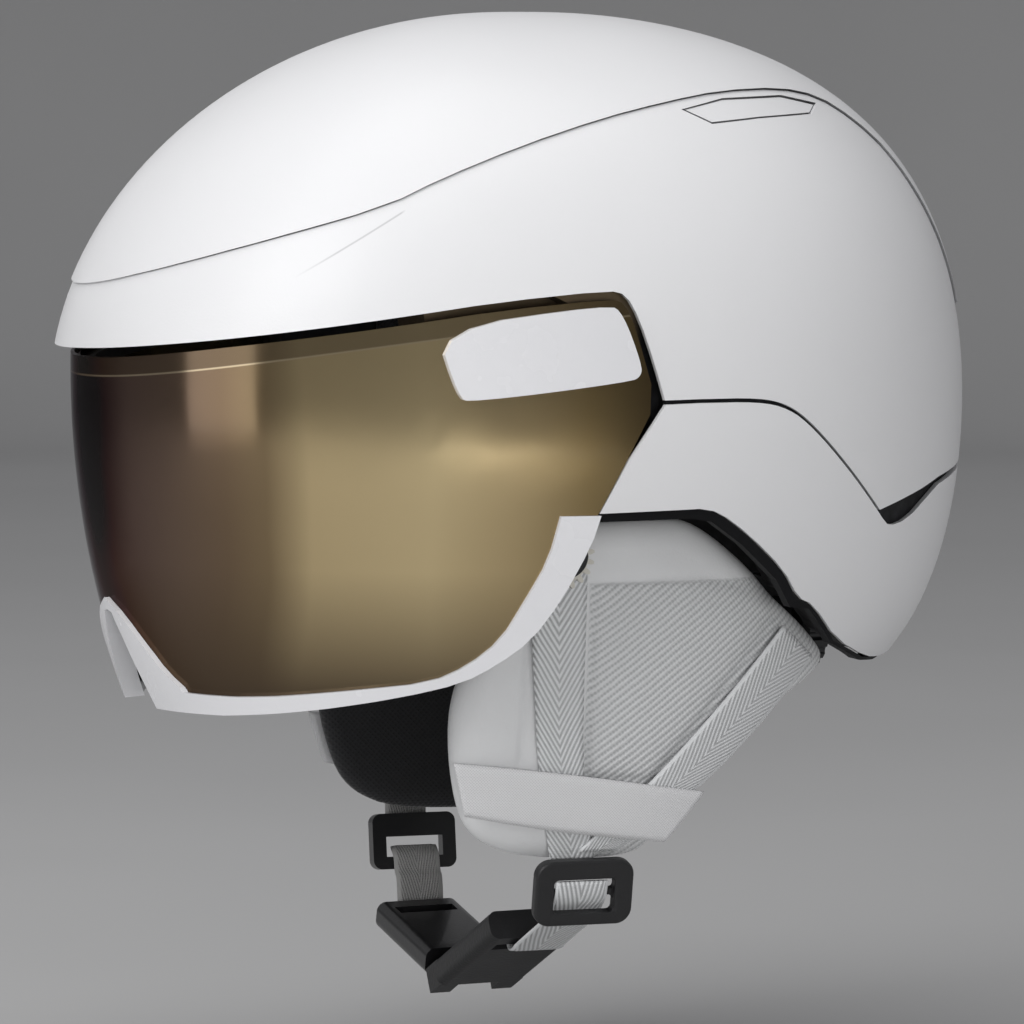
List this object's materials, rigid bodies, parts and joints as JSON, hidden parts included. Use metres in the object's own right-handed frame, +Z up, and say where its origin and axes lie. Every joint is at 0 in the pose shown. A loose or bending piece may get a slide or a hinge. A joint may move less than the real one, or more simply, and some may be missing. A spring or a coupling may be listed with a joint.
{
  "type": "snow-sports helmet with flip-up visor",
  "caption": "White hard-shell snow helmet with a mirrored flip-up visor on geared swing levers, soft ear pads, a dial-adjusted head band and a buckled chin strap.",
  "frame": {"origin": "centre of the head form, at the widest level of the shell; the mount head", "axes": "+Z up through the crown, -Y the way the face looks, +X the wearer's left side"},
  "size_m": [0.2298, 0.2859, 0.3079],
  "materials": {
    "shell_white": "satin white",
    "foam_dark": "moulded foam",
    "black_plastic": "satin black",
    "dark_plastic": "fine grained",
    "gear_plastic": "moulded",
    "steel": "brushed",
    "lens_mirror": "mirrored bronze",
    "lens_clear": "tinted inner pane",
    "seal_rubber": "soft",
    "frame_white": "satin gloss white",
    "pad_fabric": "ribbed light grey fabric",
    "liner_fabric": "brushed knit",
    "webbing_white": "herringbone webbing",
    "webbing_grey": "plain webbing",
    "mesh_black": "open mesh"
  },
  "bodies": {
    "helmet": {"crown_shell": "shell_white", "main_shell": "shell_white", "lower_shell": "shell_white", "crown_vent_inserts": "shell_white", "eps_core": "foam_dark", "ear_edge_trim": "seal_rubber", "rear_vent_mesh": "mesh_black", "crown_pad": "liner_fabric", "brow_pad": "liner_fabric", "nape_pad": "liner_fabric", "side_pad_left": "liner_fabric", "side_pad_right": "liner_fabric", "dial_housing": "black_plastic", "pivot_plate_left": "dark_plastic", "pivot_plate_right": "dark_plastic", "pivot_screws": "steel", "sun_gear_left": "gear_plastic", "sun_gear_right": "gear_plastic", "axle_cap_left": "dark_plastic", "axle_cap_right": "dark_plastic"},
    "dial": {"dial_pinion": "gear_plastic", "fit_dial": "black_plastic"},
    "head_band_left": {"fit_band_left": "black_plastic"},
    "head_band_right": {"fit_band_right": "black_plastic"},
    "lever_l": {"lever_left": "dark_plastic"},
    "lever_r": {"lever_right": "dark_plastic"},
    "idler_l": {"idler_gear_left": "gear_plastic"},
    "idler_r": {"idler_gear_right": "gear_plastic"},
    "visor": {"planet_gear_left": "gear_plastic", "planet_gear_right": "gear_plastic", "visor_bracket_left": "dark_plastic", "visor_bracket_right": "dark_plastic", "visor_lens_outer": "lens_mirror", "visor_lens_inner": "lens_clear", "lens_gasket": "seal_rubber", "visor_frame_lower": "frame_white", "visor_top_seal": "seal_rubber", "visor_face_foam": "liner_fabric", "grip_tab_left": "frame_white", "grip_tab_right": "frame_white"},
    "pad_left": {"ear_pad_left": "pad_fabric", "strap_front_left": "webbing_white", "strap_rear_left": "webbing_white", "strap_loop_band_left": "pad_fabric"},
    "pad_right": {"ear_pad_right": "pad_fabric", "strap_front_right": "webbing_grey", "strap_rear_right": "webbing_grey", "strap_loop_band_right": "pad_fabric"},
    "chin_left": {"ladder_lock": "dark_plastic", "strap_left_lower": "webbing_white", "buckle_left": "dark_plastic"},
    "chin_right": {"strap_holder": "black_plastic", "strap_right_lower": "webbing_grey", "buckle_right": "black_plastic"}
  },
  "joints": [
    {"name": "visor_lift", "type": "hinge", "parent": "helmet", "child": "lever_l", "pos_m": [0.0972, -0.044, -0.012], "axis": [-1, 0, 0], "range_deg": [0, 187]},
    {"name": "lever_right", "type": "hinge", "parent": "helmet", "child": "lever_r", "pos_m": [-0.0972, -0.044, -0.012], "axis": [-1, 0, 0], "range_deg": [0, 187]},
    {"name": "visor_tilt", "type": "hinge", "parent": "lever_l", "child": "visor", "pos_m": [0.0972, -0.01957, -0.04111], "axis": [-1, 0, 0], "range_deg": [-148, 0]},
    {"name": "idler_left", "type": "hinge", "parent": "lever_l", "child": "idler_l", "pos_m": [0.0972, -0.03243, -0.02579], "axis": [-1, 0, 0], "range_deg": [0, 134]},
    {"name": "idler_right", "type": "hinge", "parent": "lever_r", "child": "idler_r", "pos_m": [-0.0972, -0.03243, -0.02579], "axis": [-1, 0, 0], "range_deg": [0, 134]},
    {"name": "fit_dial", "type": "hinge", "parent": "helmet", "child": "dial", "pos_m": [0, 0.09, -0.07], "axis": [0, -1, 0], "range_deg": [0, 66]},
    {"name": "band_left", "type": "slide", "parent": "helmet", "child": "head_band_left", "axis": [-1, 0, 0], "range_m": [0, 0.0047]},
    {"name": "band_right", "type": "slide", "parent": "helmet", "child": "head_band_right", "axis": [1, 0, 0], "range_m": [0, 0.0047]},
    {"name": "ear_pad_left", "type": "hinge", "parent": "helmet", "child": "pad_left", "pos_m": [0.084, 0, -0.031], "axis": [0, -1, 0], "range_deg": [0, 12], "stiffness_Nm_per_rad": 0.6},
    {"name": "ear_pad_right", "type": "hinge", "parent": "helmet", "child": "pad_right", "pos_m": [-0.084, 0, -0.031], "axis": [0, 1, 0], "range_deg": [0, 12], "stiffness_Nm_per_rad": 0.6},
    {"name": "chin_strap_left", "type": "hinge", "parent": "pad_left", "child": "chin_left", "pos_m": [0.0776, -0.005, -0.1375], "axis": [0, -1, 0], "range_deg": [0, 45], "stiffness_Nm_per_rad": 0.05},
    {"name": "chin_strap_right", "type": "hinge", "parent": "pad_right", "child": "chin_right", "pos_m": [-0.0665, -0.015, -0.146], "axis": [0, 1, 0], "range_deg": [0, 55], "stiffness_Nm_per_rad": 0.05}
  ],
  "couplings": [
    {"joint": "lever_right", "follows": "visor_lift", "ratio": 1},
    {"joint": "visor_tilt", "follows": "visor_lift", "ratio": -0.78947},
    {"joint": "idler_left", "follows": "visor_lift", "ratio": 0.71429},
    {"joint": "idler_right", "follows": "visor_lift", "ratio": 0.71429},
    {"joint": "band_left", "follows": "fit_dial", "m_per_rad": 0.004},
    {"joint": "band_right", "follows": "fit_dial", "m_per_rad": 0.004}
  ]
}
